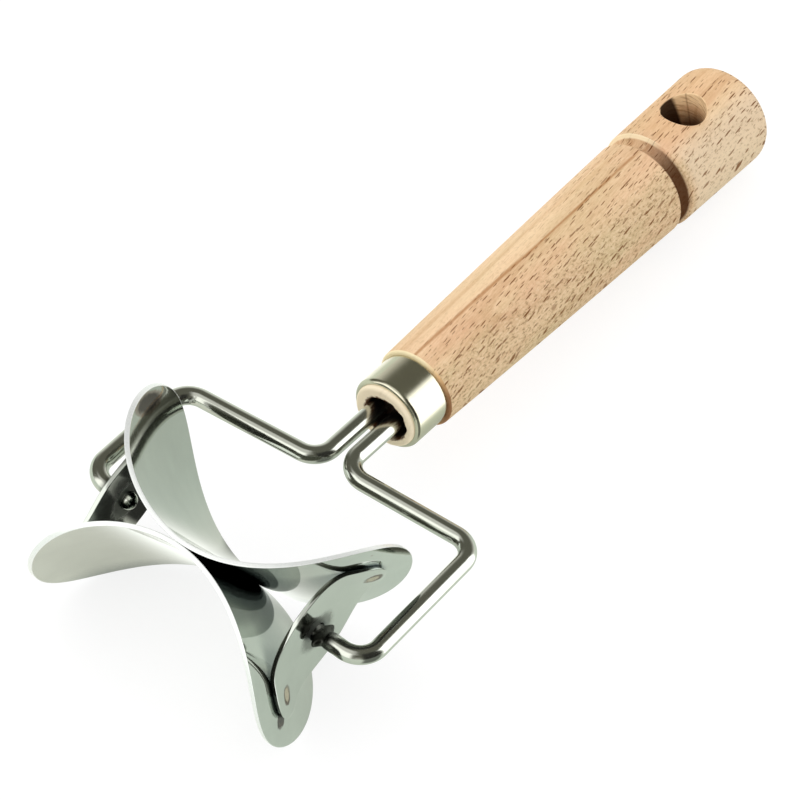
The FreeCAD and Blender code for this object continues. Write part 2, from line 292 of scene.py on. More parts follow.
def end_plate(name, side, angle):
    """side is 1 for the plate at +X and -1 for the one at -X."""
    profile = plate_profile()
    tangent = np.gradient(profile, arc_length(profile), axis=0)
    for k in range(2):
        padded = np.pad(tangent[:, k], 6, mode="edge")
        tangent[:, k] = np.convolve(padded, np.ones(13) / 13, "valid")
    tangent /= np.linalg.norm(tangent, axis=1)[:, None]
    outward = np.stack([tangent[:, 1], -tangent[:, 0]], 1)

    around = circle(220)
    cosines, sines = np.cos(around), np.sin(around)
    outline = plate_outline(sines, cosines)

    def ring(radius, height):
        u, v = radius * sines, radius * cosines
        layer = profile + outward * height
        order = np.argsort(layer[:, 1])
        x = np.interp(u, layer[order, 1], layer[order, 0])
        return turned(side * x, u, v, angle)

    # (radius, height) round the sheet's section: face, rim, other face, hole wall
    spread = np.linspace(0, 1, 40) ** 1.15
    face = [PIVOT_R + PLATE_ARRIS + (outline - PLATE_ARRIS - PIVOT_R - PLATE_ARRIS) * share
            for share in spread]
    section = [(radius, PLATE_T / 2) for radius in face]
    section += [(outline - inset, height)
                for height, inset in eased_edge(PLATE_T, PLATE_ARRIS, middle=(0.0,))]
    section += [(radius, -PLATE_T / 2) for radius in reversed(face)]
    section += [(PIVOT_R + inset, height)
                for height, inset in reversed(eased_edge(PLATE_T, PLATE_ARRIS, middle=()))]
    section.append(section[0])
    rings = [ring(radius, height) for radius, height in section]
    return mesh_from_rings(name, rings, sharp=52.0, merge=2e-7)


# ---------------------------------------------------------------------- wires
def unit(vector):
    return vector / np.linalg.norm(vector)


def wire_path(corners):
    """The wire's centre line, each corner rounded to the bend radius."""
    corners = [np.array(corner, float) for corner in corners]
    path = [corners[0]]
    for before, corner, after in zip(corners, corners[1:], corners[2:]):
        back, ahead = unit(before - corner), unit(after - corner)
        angle = math.acos(float(np.clip(back @ ahead, -1, 1)))
        reach = BEND_R / math.tan(angle / 2)
        start, end = corner + back * reach, corner + ahead * reach
        centre = corner + unit(back + ahead) * BEND_R / math.sin(angle / 2)
        path.append(start)
        arm, end_arm = start - centre, end - centre
        full = math.acos(float(np.clip(arm @ end_arm / BEND_R**2, -1, 1)))
        sign = 1.0 if arm[0] * end_arm[1] - arm[1] * end_arm[0] > 0 else -1.0
        for k in range(1, 33):
            q = sign * full * k / 32
            path.append(centre + np.array([arm[0] * math.cos(q) - arm[1] * math.sin(q),
                                           arm[0] * math.sin(q) + arm[1] * math.cos(q)]))
    path.append(corners[-1])
    return resample(np.array(path), step=0.35)


def wire(name, corners):
    path = wire_path(corners)
    tangent = np.gradient(path, arc_length(path), axis=0)
    tangent /= np.linalg.norm(tangent, axis=1)[:, None]
    normal = np.stack([-tangent[:, 1], tangent[:, 0]], 1)
    around = circle(56)
    cosines, sines = np.cos(around), np.sin(around)

    def ring(centre, sideways, half_width, half_height, boxiness=0.0):
        power = 2.0 / (2.0 + boxiness)
        offset = half_width * np.sign(cosines) * np.abs(cosines) ** power
        return np.stack([centre[0] + sideways[0] * offset, centre[1] + sideways[1] * offset,
                         half_height * np.sign(sines) * np.abs(sines) ** power], 1)

    # start cap, hidden in the handle
    rings = [ring(path[0], normal[0], WIRE_R * q, WIRE_R * q) for q in (0.02, 0.5, 0.85)]
    # the run, pinched flat into an ear on the stub that lies along the spin axis
    foot_x = abs(corners[-2][0])
    ear_x, ear_half = 0.5 * (EAR_START + EAR_END), 0.5 * (EAR_END - EAR_START)
    for point, sideways in zip(path, normal):
        half_width = half_height = WIRE_R
        boxiness = 0.0
        if abs(point[1]) < 0.4 and abs(point[0]) < foot_x - 3:
            off = abs(abs(point[0]) - ear_x)
            flare = np.clip(1 - (off / (ear_half + 0.02)) ** 1.5, 0, 1)
            squeeze = 1 / (1 + np.exp(-(ear_half + 0.25 - off) * 6.0))
            half_width = WIRE_R + (EAR_HALF_W - WIRE_R) * flare
            half_height = WIRE_R + (EAR_HALF_T - WIRE_R) * squeeze
            boxiness = 0.5 * flare
        rings.append(ring(point, sideways, half_width, half_height, boxiness))
    # rounded free end
    for k in range(1, 10):
        q = k / 10 * math.pi / 2
        radius = WIRE_R * math.cos(q)
        rings.append(ring(path[-1] + tangent[-1] * WIRE_R * math.sin(q), normal[-1],
                          radius, radius))
    rings.append(ring(path[-1] + tangent[-1] * WIRE_R, normal[-1], WIRE_R * 0.02, WIRE_R * 0.02))
    return mesh_from_rings(name, rings, sharp=60.0, merge=1e-8)


# --------------------------------------------------------------------- handle
# groove section: (share of the depth, mm past the groove's start)
GROOVE_SECTION = ((0.0, 0.0), (0.34, 0.42), (0.76, 1.15), (0.93, 1.65), (1.0, 2.15),
                  (0.99, 2.6), (0.88, 3.1))

# bore mouth chips: (angle in radians, angular width, height in mm)
BORE_CHIPS = ((0.15, 0.24, 0.80), (0.75, 0.20, 0.95), (1.35, 0.16, 0.75), (2.6, 0.20, 0.35),
              (3.9, 0.12, 0.45), (5.2, 0.22, 0.5), (5.85, 0.10, 0.6))

# bore: (y, share of the raggedness, extra radius)
BORE_STATIONS = ((FACE_Y - 2, 1.0, 0.32), (FACE_Y - 0.02, 1.0, 0.20), (FACE_Y + 0.25, 0.85, 0.08),
                 (FACE_Y + 0.8, 0.45, 0.0), (FACE_Y + 1.8, 0.12, 0.0), (FACE_Y + 3.5, 0.0, 0.0),
                 (70.0, 0.0, 0.0), (86.0, 0.0, 0.0))
BORE_TIP_Y, BORE_TIP_R = 88.6, 0.6


def knob_radius(y):
    start = GROOVE_END + KNOB_EASE
    return KNOB_START_R + (KNOB_END_R - KNOB_START_R) * (y - start) / (KNOB_END_Y - start)


def handle_profile():
    """(radius, y) from the front face back to the butt."""
    # nose and tenon
    profile = [(0.0, FACE_Y), (NOSE_R - NOSE_EASE, FACE_Y)]
    profile += arc((NOSE_R - NOSE_EASE, FACE_Y + NOSE_EASE), NOSE_EASE, -90, 0, 9)[1:]
    tenon_y = FERRULE_Y + FERRULE_LIP
    profile += [(NOSE_R, tenon_y), (TENON_R, tenon_y), (TENON_R, SHOULDER_Y)]
    # shoulder and swelling grip
    corner_r, start = GRIP_FRONT_R - GRIP_EASE, SHOULDER_Y + GRIP_EASE
    profile += [(corner_r, SHOULDER_Y)]
    profile += arc((corner_r, start), GRIP_EASE, -78, -12, 5)
    for y in np.linspace(start, GROOVE_START, 150):
        share = (y - start) / (GROOVE_START - start)
        profile.append((GRIP_FRONT_R + (GRIP_REAR_R - GRIP_FRONT_R) * share
                        + GRIP_SWELL * np.sin(np.pi * share), y))
    # groove
    groove = np.array([[GRIP_REAR_R - share * GROOVE_DEPTH, GROOVE_START + along]
                       for share, along in GROOVE_SECTION])
    for here, ahead in zip(groove, groove[1:]):
        for q in (1 / 3, 2 / 3, 1.0):
            profile.append(tuple(here * (1 - q) + ahead * q))
    # knob
    profile += [(KNOB_START_R - 0.35, GROOVE_END)]
    profile += arc((KNOB_START_R - KNOB_EASE, GROOVE_END + KNOB_EASE), KNOB_EASE, -80, 0, 6)
    profile += [(knob_radius(y), y) for y in np.linspace(GROOVE_END + 0.5, KNOB_END_Y, 60)]
    # rounded butt, closed by a shallow dome
    profile += arc((KNOB_END_R - BUTT_EASE, KNOB_END_Y), BUTT_EASE, 0, 84, 20)[1:]
    rim_r, rim_y = profile[-1]
    for q in np.linspace(1, 0, 14)[1:]:
        profile.append((rim_r * q, rim_y + (BUTT_Y - 0.004 - rim_y) * (1 - q * q)))
    return profile


def cutter_from_rings(name, rings):
    """A closed solid: the rings plus a fan over each end."""
    segments, last = len(rings[0]), (len(rings) - 1) * len(rings[0])
    points = np.concatenate(rings + [[np.mean(rings[0], 0)], [np.mean(rings[-1], 0)]])
    faces = grid_faces(len(rings), segments, closed=True)
    first_centre = len(rings) * segments
    for j in range(segments):
        j2 = (j + 1) % segments
        faces.append((first_centre, j2, j))
        faces.append((first_centre + 1, last + j, last + j2))
    return make_mesh(name, points, faces, merge=1e-9)


def cut(target, cutter):
    modifier = target.modifiers.new("cut", "BOOLEAN")
    modifier.operation = "DIFFERENCE"
    modifier.solver = "EXACT"
    modifier.object = cutter
    depsgraph = bpy.context.evaluated_depsgraph_get()
    depsgraph.update()
    result = bpy.data.meshes.new_from_object(target.evaluated_get(depsgraph))
    target.modifiers.clear()
    before = target.data
    target.data = result
    bpy.data.meshes.remove(before)
    bpy.data.objects.remove(cutter)


def bore_cutter():
    """The bore along the handle, with a torn, slightly uneven mouth."""
    around = circle(96)
    wobble = (0.10 * np.sin(3 * around + 0.7) + 0.07 * np.sin(5 * around + 2.1)
              + 0.05 * np.sin(9 * around + 4.0) + 0.04 * np.sin(17 * around + 1.0))
    chips = np.zeros(len(around))
    for place, width, height in BORE_CHIPS:
        off = np.angle(np.exp(1j * (around - place)))
        chips += height * np.exp(-(off / width) ** 2)

    def ring(y, radius):
        return np.stack([BORE_X + radius * np.cos(around), np.full(len(around), y),
                         radius * np.sin(around)], 1)
    rings = [ring(y, BORE_R + (wobble * 0.6 + chips) * share * 0.62 + extra)
             for y, share, extra in BORE_STATIONS]
    rings.append(ring(BORE_TIP_Y, BORE_TIP_R))
    return cutter_from_rings("c1", rings)


def hanging_hole_cutter():
    """The cross hole, its mouths eased where they meet the round knob."""
    around = circle(112)
    centre = np.array([0, HANG_Y, 0])
    through = np.array([math.cos(HANG_ROLL), 0, math.sin(HANG_ROLL)])
    across = np.array([math.sin(HANG_ROLL), 0, -math.cos(HANG_ROLL)])
    along = np.array([0, 1.0, 0])

    def ring(radius, height):
        offset_across, offset_along = radius * np.cos(around), radius * np.sin(around)
        return (centre + offset_across[:, None] * across + offset_along[:, None] * along
                + height[:, None] * through)

    mouth = []
    for degrees in np.linspace(0, 76, 9):
        a = math.radians(degrees)
        radius = HANG_R + HANG_LIP * (1 - math.cos(a))
        knob = knob_radius(HANG_Y + radius * np.sin(around))
        surface = np.sqrt(knob**2 - (np.cos(around) * (HANG_R + HANG_LIP)) ** 2)
        mouth.append((radius, surface - HANG_LIP * (1 - math.sin(a)) * 1.05))
    # flared end rings stand clear of the knob
    end_radius, end_height = mouth[-1][0] + 1.6, mouth[-1][1] + 1.2
    rings = [ring(end_radius, -end_height)]
    rings += [ring(radius, -height) for radius, height in reversed(mouth)]
    rings += [ring(radius, height) for radius, height in mouth]
    rings.append(ring(end_radius, end_height))
    return cutter_from_rings("c2", rings)


def build_handle():
    turning = revolve("handle_turned", handle_profile(), sharp=38.0)
    cut(turning, bore_cutter())
    cut(turning, hanging_hole_cutter())
    shade_smooth(turning.data, sharp=42)
    return turning


def build_ferrule():
    """A tube over the tenon, its front lip rolled in to the nose."""
    lip_y = FERRULE_Y + FERRULE_LIP
    profile = [(NOSE_R, lip_y), (NOSE_R, FERRULE_Y + 0.06),
               (NOSE_R + 0.03, FERRULE_Y + 0.02), (NOSE_R + 0.07, FERRULE_Y)]
    profile += arc((FERRULE_R - FERRULE_LIP, lip_y), FERRULE_LIP, -88, 0, 14)
    profile += [(FERRULE_R, lip_y + 0.4)]
    profile += [(FERRULE_R, y) for y in np.linspace(lip_y + 0.8, SHOULDER_Y - 0.3, 22)]
    profile += arc((FERRULE_R - 0.2, SHOULDER_Y - 0.2), 0.2, 10, 90, 6)
    profile += [(FERRULE_BORE_R, SHOULDER_Y), (FERRULE_BORE_R, lip_y), (NOSE_R, lip_y)]
    return revolve("ferrule_tube", profile, sharp=45.0)


# --------------------------------------------------------------------- pieces
# (x, y) corners of the fork wires, from inside the handle to the free end
RIGHT_CORNERS = ((NECK_X, WIRE_START_Y), (NECK_X, 35.4), (35.5, 38.4), (36.9, 0.0), (24.0, 0.0))
LEFT_CORNERS = ((-NECK_X, WIRE_START_Y), (-NECK_X, 34.1), (-34.7, 30.0), (-34.3, 0.0),
                (-24.0, 0.0))

handle = build_handle()
ferrule = build_ferrule()
right_wire = wire("fork_wire_right", RIGHT_CORNERS)
left_wire = wire("fork_wire_left", LEFT_CORNERS)
blade_a = blade("blade_rear", ROLL)
blade_b = blade("blade_front", ROLL + math.pi)
right_plate = end_plate("plate_right", 1, ROLL)
left_plate = end_plate("plate_left", -1, ROLL)

# object, CAD node it replaces, body it rides, material slot
PIECES = (
    (handle, "handle", "fork_and_handle", "beech"),
    (ferrule, "ferrule", "fork_and_handle", "ferrule_plate"),
    (left_wire, "left_fork_wire", "fork_and_handle", "fork_steel"),
    (right_wire, "right_fork_wire", "fork_and_handle", "fork_steel"),
    (blade_a, "cutter_blade_a", "roller", "blade_steel"),
    (blade_b, "cutter_blade_b", "roller", "blade_steel"),
    (left_plate, "left_end_plate", "roller", "plate_steel"),
    (right_plate, "right_end_plate", "roller", "plate_steel"),
)
for piece, node_name, body_name, slot_name in PIECES:
    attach(piece, body_name)
    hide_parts(node_name)


# --------------------------------------------------------------- node helpers
class Signal:
    """A node's output. Arithmetic on it adds math nodes, or vector math nodes when the
    output is a vector or a colour."""

    def __init__(self, graph, socket):
        self.graph = graph
        self.socket = socket

    def apply(self, operation, *terms, out=0):
        kind = "Math" if self.socket.type == "VALUE" else "VectorMath"
        return self.graph.signal(kind, dict(enumerate(terms)), out, operation=operation)

    def __add__(self, other):
        return self.apply("ADD", self, other)

    def __radd__(self, other):
        return self.apply("ADD", other, self)

    def __sub__(self, other):
        return self.apply("SUBTRACT", self, other)

    def __rsub__(self, other):
        return self.apply("SUBTRACT", other, self)

    def __mul__(self, other):
        return self.apply("MULTIPLY", self, other)

    def __rmul__(self, other):
        return self.apply("MULTIPLY", other, self)

    def __truediv__(self, other):
        return self.apply("DIVIDE", self, other)

    def __abs__(self):
        return self.apply("ABSOLUTE", self)

    def above(self, limit):
        return self.apply("GREATER_THAN", self, limit)

    def below(self, limit):
        return self.apply("LESS_THAN", self, limit)

    def largest(self, other):
        return self.apply("MAXIMUM", self, other)

    def parts(self):
        return self.graph.signals("SeparateXYZ", {0: self}, outs=(0, 1, 2))

    def fade(self, over, to=(0.0, 1.0), interpolation="LINEAR"):
        """Runs from to[0] to to[1] as this signal goes from over[0] to over[1]."""
        return self.graph.signal("MapRange", dict(enumerate((self, *over, *to))),
                                 interpolation_type=interpolation)

    def ease(self, over, to=(0.0, 1.0)):
        """Like fade, with a soft start and end."""
        return self.fade(over, to, "SMOOTHSTEP")

    def toward(self, colour, amount):
        return self.graph.mix(amount, self, colour)

    def colours(self, *stops):
        """A colour ramp over (position, colour) stops."""
        ramp = self.graph.signal("ValToRGB", {0: self})
        elements = ramp.socket.node.color_ramp.elements
        while len(elements) < len(stops):
            elements.new(0.5)
        for element, (position, colour) in zip(elements, stops):
            element.position = position
            element.color = (*colour, 1)
        return ramp


class Graph:
    """Builds nodes in one node tree."""

    def __init__(self, tree):
        self.tree = tree
        tree.nodes.clear()

    def signals(self, kind, inputs=(), outs=(0,), **settings):
        """Adds a node and returns the outputs asked for."""
        node = self.tree.nodes.new("ShaderNode" + kind)
        for setting, value in settings.items():
            setattr(node, setting, value)
        for place, value in dict(inputs).items():
            self.put(node.inputs[place], value)
        return [Signal(self, node.outputs[out]) for out in outs]

    def signal(self, kind, inputs=(), out=0, **settings):
        return self.signals(kind, inputs, (out,), **settings)[0]

    def put(self, socket, value):
        if isinstance(value, Signal):
            self.tree.links.new(value.socket, socket)
        elif socket.type == "RGBA":
            socket.default_value = (*value, 1)
        else:
            socket.default_value = value

    def mapping(self, vector, shift=(0, 0, 0), turn=(0, 0, 0), scale=(1, 1, 1)):
        return self.signal("Mapping", {0: vector, "Location": shift, "Rotation": turn,
                                       "Scale": scale})

    def noise(self, vector, scale, detail, rough, shift=(0, 0, 0), turn=(0, 0, 0), out=0):
        """Noise with its own scale, in cells per mm, along each axis."""
        place = self.mapping(vector, shift, turn, scale)
        return self.signal("TexNoise", {"Vector": place, "Scale": 1.0, "Detail": detail,
                                        "Roughness": rough}, out)

    def mix(self, amount, base, other, blend="MIX"):
        return self.signal("Mix", {0: amount, 6: base, 7: other}, out=2,
                           data_type="RGBA", blend_type=blend, clamp_factor=True)

    def bump(self, height, strength, distance, normal=None):
        inputs = {"Strength": strength, "Distance": distance, "Height": height}
        if normal is not None:
            inputs["Normal"] = normal
        return self.signal("Bump", inputs)

    def mix_shader(self, amount, base, other):
        return self.signal("MixShader", {0: amount, 1: base, 2: other})


class Material(Graph):
    def __init__(self, name):
        self.material = bpy.data.materials.new(name)
        self.material.use_nodes = True
        super().__init__(self.material.node_tree)
        self.object_place = self.signal("TexCoord", out="Object")

    def millimetres(self):
        """Millimetres, counted from the middle of the roller."""
        return self.object_place * (1000.0, 1000.0, 1000.0) - (0.0, ORIGIN_Y, 0.0)

    def finish(self, shader):
        self.signals("OutputMaterial", {0: shader}, outs=())
        return self.material


def hypot(a, b):
    return (a * a + b * b).apply("SQRT", a * a + b * b) if False else root(a * a + b * b)


def root(value):
    return value.apply("SQRT", value)


def ragged(distance, wobble, by):
    """A distance roughened by noise."""
    return distance + (wobble - 0.5) * by


def srgb(*levels):
    """Linear colour from 0-255 sRGB levels."""
    shares = (level / 255.0 for level in levels)
    return tuple(c / 12.92 if c <= 0.04045 else ((c + 0.055) / 1.055) ** 2.4 for c in shares)


# ---------------------------------------------------------------------- beech
BEECH = SimpleNamespace(
    tone_dark=srgb(220, 184, 144), tone=srgb(232, 197, 156), tone_light=srgb(242, 210, 170),
    ring=srgb(190, 140, 96), fibre_dark=srgb(184, 142, 98), fibre_light=srgb(250, 222, 184),
    pink=srgb(238, 184, 150), green=srgb(205, 190, 142),
    stripe=srgb(247, 216, 176), stripe_line=srgb(168, 112, 60), faint_line=srgb(196, 148, 96),
    # knob tones: painted light on the knob's right side, painted shade on its left
    knob_right_lit=srgb(248, 224, 196), knob_left_shade=srgb(228, 184, 136),
    flank=srgb(198, 182, 146), mottle_dark=srgb(152, 120, 82), mottle_light=srgb(238, 212, 178),
    # the nose colour is pale end grain, painted paler still as a painted highlight
    ray=srgb(116, 70, 30), nose=srgb(255, 240, 210),
    # arris colours: a painted highlight on the left, painted shade on the right
    arris_highlight=srgb(255, 240, 196), arris_mid=srgb(232, 188, 134), arris_shade=srgb(140, 90, 50),
    # painted shade round the bore mouth and inside the bore
    bore_mouth_shade=srgb(92, 54, 24), bore=srgb(26, 14, 7),
    # the hole mouth colour is a painted highlight
    hole_mouth_lit=srgb(255, 224, 178), hole_line=srgb(150, 98, 56), wall_line=srgb(128, 84, 46),
    # painted shade in the hanging hole, with depth and on one side
    hole_depth_shade=srgb(70, 38, 18), hole_shade=srgb(40, 19, 9),
    # groove brown: partly the groove's own, mostly painted shade; its wall colour is a painted
    # highlight
    groove=srgb(78, 42, 18), groove_wall_highlight=srgb(255, 238, 200),
)

# ray flecks: (cell size, lens half size, seed, strength, share of cells left empty), mm
RAYS = (((1.50, 3.3, 4.4), (0.140, 1.28, 2.3), 0.0, 1.0, 0.05),
        ((1.35, 2.3, 3.2), (0.105, 0.66, 1.6), 37.0, 0.85, 0.25),
        ((7.0, 12.0, 9.0), (0.62, 1.35, 3.0), 71.0, 0.60, 0.55))


def beech_places(m):
    """The coordinates that the beech layers share, in mm."""
    place = m.millimetres()
    x, y, z = place.parts()
    # the grain runs a few degrees off the turned axis
    grain = m.mapping(place, turn=(0.0, math.radians(-8.0), math.radians(-5.5)))
    hole_x = x * math.sin(HANG_ROLL) + z * -math.cos(HANG_ROLL)
    hole_y = y - HANG_Y
    return SimpleNamespace(place=place, x=x, y=y, z=z, axis_r=hypot(x, z), grain=grain,
                           hole_x=hole_x, hole_y=hole_y, hole_r=hypot(hole_x, hole_y))


def growth_rings(m, at):
    """Ring lines; the billet's heart lies far below the handle."""
    warp = m.noise(at.place, scale=(0.05, 0.014, 0.05), detail=2.0, rough=0.5, out=1)
    bent = at.grain + (warp - (0.5, 0.5, 0.5)) * (4.0, 3.0, 4.0)
    across, _, up = bent.parts()
    heart_depth, ring_shift, ring_pitch = 43.0, 1.6, 3.1
    heart_r = hypot(across, up + heart_depth)
    phase = (heart_r + ring_shift) / ring_pitch
    phase = phase.apply("FRACT", phase)
    return phase.ease(over=(0.60, 0.97)) * phase.fade(over=(1.0, 0.97))


def bare_grain(m, at, tone, fibre):
    colour = tone.colours((0.28, BEECH.tone_dark), (0.5, BEECH.tone), (0.72, BEECH.tone_light))
    colour = colour.toward(BEECH.ring, amount=growth_rings(m, at) * 0.34)
    colour = colour.toward(BEECH.fibre_dark, amount=fibre.fade(over=(0.46, 0.74), to=(0.0, 0.46)))
    colour = colour.toward(BEECH.fibre_light,
                           amount=fibre.fade(over=(0.46, 0.30), to=(0.0, 0.30)))
    # pinkish and greenish drift
    hue = m.noise(at.grain, scale=(0.11, 0.03, 0.11), shift=(9, 3, 4), detail=3.0, rough=0.6)
    colour = colour.toward(BEECH.pink, amount=hue.fade(over=(0.5, 0.70), to=(0.0, 0.34)))
    return colour.toward(BEECH.green, amount=hue.fade(over=(0.5, 0.32), to=(0.0, 0.36)))


def pale_stripe(at, colour, tone):
    """A pale stripe along the upper left (-X), closed by a brown line, and the knob's tones:
    painted light on its right (+X) side and painted shade on its left.
    """
    edge = at.x + 1.4 + (tone - 0.5) * 2.5
    upper = at.z.above(-2.0)
    stripe = edge.ease(over=(0.3, -0.8)) * upper
    body = at.y.ease(over=(139.5, 136.0), to=(0.35, 1.0))
    stripe = stripe * body * at.y.ease(over=(98.0, 134.0), to=(1.0, 0.30))
    colour = colour.toward(BEECH.stripe, amount=stripe * 0.38)
    knob = at.y.ease(over=(143.0, 146.0))
    # painted light on the knob's right (+X) side, painted shade on its left (-X)
    colour = colour.toward(BEECH.knob_right_lit,
                           amount=knob * at.x.ease(over=(2.0, 8.0), to=(0.0, 0.66)))
    colour = colour.toward(BEECH.knob_left_shade,
                           amount=knob * at.x.ease(over=(5.0, -1.0), to=(0.0, 0.40)))
    line = abs(edge).ease(over=(0.55, 0.06)) * upper * body
    colour = colour.toward(BEECH.stripe_line, amount=line * 0.70)
    line = abs(edge + 3.9).ease(over=(0.9, 0.1)) * upper * body
    return colour.toward(BEECH.faint_line, amount=line * 0.22), stripe


def mottle(m, at, colour):
    """Fine mottle, strongest on the right (+X)."""
    fine = m.noise(at.grain, scale=(1.9, 0.95, 1.9), shift=(3, 1, 8), detail=3.0, rough=0.65)
    flank = at.x.ease(over=(2.0, 8.0), to=(0.22, 1.0))
    colour = colour.toward(BEECH.flank, amount=at.x.ease(over=(3.0, 9.0)) * 0.30)
    dark = fine.ease(over=(0.52, 0.66)) * flank
    colour = colour.toward(BEECH.mottle_dark,
                           amount=dark * at.y.ease(over=(138.0, 146.0), to=(0.76, 0.50)))
    return colour.toward(BEECH.mottle_light, amount=fine.ease(over=(0.46, 0.34)) * flank * 0.50)


def ray_flecks(m, at, stripe):
    """Rays: thin upright lenses in the wood, one to a cell, faint in the pale stripe."""
    flecks = None
    for cell, lens, seed, strength, empty in RAYS:
        jitter = m.noise(at.grain, scale=(0.5, 0.7, 0.5), shift=(seed, 0, 0), detail=1.0,
                         rough=0.5, out=1)
        moved = at.grain + (jitter - (0.5, 0.5, 0.5)) * (0.16, 0.2, 0.2)
        spot = moved / cell + (seed, seed * 0.7, seed * 1.3)
        centre, random = m.signals("TexVoronoi", {"Vector": spot, "Scale": 1.0,
                                                  "Randomness": 1.0},
                                   outs=("Position", "Color"), feature="F1")
        offset = (spot - centre) * tuple(c / w for c, w in zip(cell, lens))
        distance = offset.apply("LENGTH", offset, out=1)
        draw, shade, _ = random.parts()
        size = draw.fade(over=(empty, 1.0), to=(0.68, 1.25))
        fleck = (distance / size).ease(over=(1.15, 0.70)) * draw.above(empty)
        fleck = fleck * (shade.fade(over=(0.0, 1.0), to=(0.62, 1.0)) * strength)
        if empty > 0.5:      # the large flecks show on the right flank only
            fleck = fleck * at.x.ease(over=(6.0, 8.5))
        flecks = fleck if flecks is None else flecks.largest(fleck)
    flecks = flecks * (1.0 - stripe * 0.90)
    return flecks * at.hole_r.ease(over=(5.05, 5.30))


def front_end(m, at, colour):
    """The pale nose, brightened as a painted highlight, the arris against the ferrule painted
    light on its left and shade on its right, and painted shade round and inside the bore.
    """
    # pale end grain on the nose, brightened as a painted highlight
    colour = colour.toward(BEECH.nose, amount=at.y.fade(over=(54.2, 53.4)) * 0.92)
    # the arris is painted light towards -X and painted shade towards +X
    arris = at.y.ease(over=(63.10, 62.90)) * at.y.fade(over=(61.0, 62.0))
    arris_light_and_shade = at.x.fade(over=(1.0, 8.5)).colours(
        (0.0, BEECH.arris_highlight), (0.55, BEECH.arris_mid), (1.0, BEECH.arris_shade))
    colour = colour.toward(arris_light_and_shade, amount=arris * 0.85)
    # painted shade round the bore mouth, made ragged by noise
    wobble = m.noise(at.place, scale=(1.1, 0.8, 1.1), detail=3.0, rough=0.6)
    bore_r = hypot(at.x - BORE_X, at.z)
    bore_mouth_shade = ragged(bore_r, wobble, by=1.6).ease(over=(5.75, 5.05))
    colour = colour.toward(BEECH.bore_mouth_shade, amount=bore_mouth_shade * at.y.fade(over=(92.0, 91.0)))
    # painted shade on the wall inside the bore
    inner = bore_r.ease(over=(5.45, 5.2)) * at.y.ease(over=(52.1, 53.6))
    return colour.toward(BEECH.bore, amount=inner * at.y.fade(over=(92.0, 91.0)))


def hanging_hole(m, at, colour):
    """Painted shade darkens the hole with depth and on its -X side, and a painted highlight pales
    the wall near its mouth; a dark line runs down its wall.
    """
    hole = at.hole_r.ease(over=(5.30, 5.05)) * at.y.fade(over=(148.0, 149.0))
    # painted shade: deeper in the hole, and on its -X side
    deep = at.axis_r.ease(over=(8.2, 3.4))
    shade = (at.hole_x + (at.axis_r - 7.0) * 0.17).ease(over=(-3.45, -4.0))
    # a dark line down the wall, on the butt side
    wall_line = abs(at.hole_x + 2.4 + (at.axis_r - 10.2) * 0.12)
    wall_line = wall_line.ease(over=(0.26, 0.08)) * at.hole_y.above(0.0)
    mouth = hole * at.axis_r.ease(over=(7.6, 9.6))
    lines = m.noise(at.grain, scale=(0.25, 0.25, 1.9), detail=2.0, rough=0.6)
    # painted highlight on the wall near the mouth
    colour = colour.toward(BEECH.hole_mouth_lit, amount=mouth * 0.80)
    colour = colour.toward(BEECH.hole_line, amount=hole * (lines.ease(over=(0.50, 0.62)) * 0.42))
    colour = colour.toward(BEECH.wall_line, amount=hole * wall_line * 0.42)
    # painted shade with depth and on the -X side
    colour = colour.toward(BEECH.hole_depth_shade, amount=hole * deep * 0.85)
    return colour.toward(BEECH.hole_shade, amount=hole * shade * 0.95), hole


def turned_groove(at, colour):
    """The groove is browner towards +X, a brown partly its own and mostly painted shade; its rear
    wall is pale towards -X, a painted highlight.
    """
    groove = at.y.ease(over=(139.35, 140.3)) * at.y.ease(over=(143.05, 142.7))
    # painted shade in the groove, strongest towards +X, over a little brown of its own
    colour = colour.toward(BEECH.groove,
                           amount=groove * at.x.ease(over=(-5.0, 7.5), to=(0.12, 0.94)))
    # painted highlight on the rear wall towards -X
    wall = at.y.ease(over=(142.65, 142.9)) * at.y.ease(over=(143.42, 143.2))
    wall = wall * at.x.ease(over=(2.5, -2.5))
    return colour.toward(BEECH.groove_wall_highlight, amount=wall * 0.85), groove


def beech():
    m = Material("beech_turned")
    at = beech_places(m)
    tone = m.noise(at.grain, scale=(0.20, 0.012, 0.20), detail=3.0, rough=0.55)
    fibre = m.noise(at.grain, scale=(3.2, 0.30, 3.2), detail=3.0, rough=0.6)
    colour = bare_grain(m, at, tone, fibre)
    colour, stripe = pale_stripe(at, colour, tone)
    colour = mottle(m, at, colour)
    flecks = ray_flecks(m, at, stripe)
    colour = colour.toward(BEECH.ray, amount=flecks * 0.92)
    colour = front_end(m, at, colour)
    colour, hole = hanging_hole(m, at, colour)
    colour, groove = turned_groove(at, colour)

    turning = m.noise(at.place, scale=(0.15, 5.5, 0.15), detail=2.0, rough=0.6)
    normal = m.bump(turning, strength=0.30, distance=0.00005)
    normal = m.bump(fibre, strength=0.30, distance=0.00008, normal=normal)
    normal = m.bump(1.0 - flecks, strength=0.6, distance=0.00012, normal=normal)
    return m.finish(m.signal("BsdfPrincipled", {
        "Base Color": colour,
        "Roughness": 0.56 + fibre * 0.16 + flecks * 0.12,
        "Specular IOR Level": 0.16 * (1.0 - groove.largest(hole).largest(flecks)),
        "Normal": normal}))


